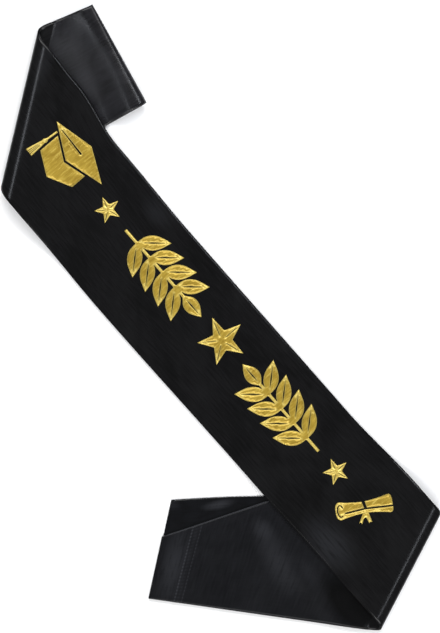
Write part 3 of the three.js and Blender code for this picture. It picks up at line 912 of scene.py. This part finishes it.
def star(u, radius):
    outline = []
    for i in range(10):
        c, s = along(90 + i * 36)
        reach = radius * (ornament["starInner"] if i % 2 else 1)
        outline.append((u + c * reach, ornament["v"] + s * reach))
    ribs = []
    for point in outline[::2]:
        start, end = ([mix(centre, at, ornament[share]) for centre, at in zip((u, ornament["v"]), point)]
                      for share in ("starRibFrom", "starRibTo"))
        ribs.append(bar(start, end, ornament["starRib"]))
    return outline, ribs


def leaf(root, turn, length, width):
    upper = [(i / (len(leafEdge) - 1) * length, share * width) for i, share in enumerate(leafEdge)]
    outline = upper[::-1] + [(x, -y) for x, y in upper[1:-1]]
    start, middle, end = (leafRib[place] * length for place in ("start", "middle", "end"))
    rib = [(start, 0), (middle, -leafRib["half"]), (end, 0), (middle, leafRib["half"])]
    return turned(outline, *root, turn), turned(rib, *root, turn)


def branch(foot, tip):
    sign = math.copysign(1, tip - foot)
    length = abs(tip - foot)
    leafLength = (ornament["height"] - ornament["stem"]) / 2 / math.sin(math.radians(ornament["leafTurn"]))
    tipLeaf = ornament["tipShare"] * leafLength
    pairs = int((length - tipLeaf) // ornament["leafPitch"])
    start = length - tipLeaf - pairs * ornament["leafPitch"]
    stemEnds = (start * ornament["stemFrom"], length - tipLeaf * ornament["stemTo"])
    stem = bar((stemEnds[0], 0), (stemEnds[1], 0), ornament["stem"])
    outlines, ribs = [stem], []
    for i in range(pairs):
        for side in (1, -1):
            root = (start + (i + ornament["rootShare"]) * ornament["leafPitch"], 0)
            outline, rib = leaf(root, side * ornament["leafTurn"], leafLength, ornament["leafWidth"])
            outlines.append(outline)
            ribs.append(rib)
    outline, rib = leaf((length - tipLeaf, 0), 0, tipLeaf, ornament["leafWidth"])
    outlines.append(outline)
    ribs.append(rib)

    def laid(outline):
        return [(foot + sign * x, ornament["v"] + y) for x, y in outline]

    return [laid(outline) for outline in outlines], [laid(rib) for rib in ribs]


middle = (ornament["start"] + ornament["end"]) / 2
foot = 2 * ornament["outerStar"] + ornament["gap"]
tip = ornament["star"] + ornament["gap"]
for name, u, radius in (
    ("left", ornament["start"] + ornament["outerStar"], ornament["outerStar"]),
    ("middle", middle, ornament["star"]),
    ("right", ornament["end"] - ornament["outerStar"], ornament["outerStar"]),
):
    outline, ribs = star(u, radius)
    foilPiece(f"foil_{name}_star", [outline], ribs, f"foil_star_{name}", goldMaterial)
for name, start, end in (
    ("left", ornament["start"] + foot, middle - tip),
    ("right", ornament["end"] - foot, middle + tip),
):
    outlines, ribs = branch(start, end)
    foilPiece(f"foil_{name}_laurel", outlines, ribs, f"foil_branch_{name}", goldMaterial)

print("studio")
studio = dict(
    photoScale=0.8, photoSize=(440, 633), stripPixel=(214.7, 343.7),  # the strip's middle in the photo
    cameraHeight=2.0, sensor=36, clothTop=0.004,
    world=0.3, floor=0.94, floorRough=0.9, floorSpecular=0.1, floorSize=8,
    strips=[  # narrow lights that glance off the folds: place, power, width and length
        (-0.42, 0.27, 0.7, 0.65, 0.055, 0.3), (0.42, -0.34, 0.7, 0.5, 0.05, 0.26),
        (0.42, 0.5, 0.7, 2.2, 0.085, 0.36),
    ],
    stripColour=(0.88, 0.92, 1.0),
    softboxes=[(0.0, 1.7, 1.5, 40.0), (0.0, -1.7, 1.5, 40.0)], softboxSize=(2.0, 0.9),
)


def areaLight(name, place, power, size, aim=(0, 0, 0)):
    data = bpy.data.lights.new(name, "AREA")
    data.shape = "RECTANGLE"
    data.size, data.size_y = size
    data.energy = power
    light = bpy.data.objects.new(name, data)
    light.location = place
    light.rotation_euler = (Vector(aim) - Vector(place)).to_track_quat("-Z", "Y").to_euler()
    scene.collection.objects.link(light)
    return light


for i, (x, y, z, power, width, length) in enumerate(studio["strips"]):
    strip = areaLight(f"strip_light_{i}", (x, y, z), power, (length, width), aim=(0, y, 0))
    strip.data.color = studio["stripColour"]
for i, (x, y, z, power) in enumerate(studio["softboxes"]):
    areaLight(f"softbox_{i}", (x, y, z), power, studio["softboxSize"])

world = bpy.data.worlds.new("studio")
scene.world = world
world.use_nodes = True
background = world.node_tree.nodes["Background"]
background.inputs["Color"].default_value = (1, 1, 1, 1)
background.inputs["Strength"].default_value = studio["world"]

reach = studio["floorSize"] / 2
floorCorners = [(-reach, -reach, 0), (reach, -reach, 0), (reach, reach, 0), (-reach, reach, 0)]
floorMesh = bpy.data.meshes.new("floor")
floorMesh.from_pydata(floorCorners, [], [(0, 1, 2, 3)])
floor = bpy.data.objects.new("floor", floorMesh)
scene.collection.objects.link(floor)
floorFinish = Finish("white_card")
floorFinish.feed(Base_Color=(studio["floor"],) * 3 + (1,), Roughness=studio["floorRough"])
floorFinish.feed(Specular_IOR_Level=studio["floorSpecular"])
floorMesh.materials.append(floorFinish.material)
scene.view_settings.view_transform = "Standard"

cameraData = bpy.data.cameras.new("camera")
cameraData.sensor_width = studio["sensor"]
tall = studio["photoSize"][1] * studio["photoScale"] * mm
cameraData.lens = studio["sensor"] * (studio["cameraHeight"] - studio["clothTop"]) / tall
camera = bpy.data.objects.new("camera", cameraData)
pixelX, pixelY = (size / 2 for size in studio["photoSize"])
stripX, stripY = studio["stripPixel"]
camera.location = (
    (sash["origin"][0] + (pixelX - stripX) * studio["photoScale"]) * mm,
    (sash["origin"][1] + (stripY - pixelY) * studio["photoScale"]) * mm,
    studio["cameraHeight"],
)
scene.collection.objects.link(camera)
scene.camera = camera
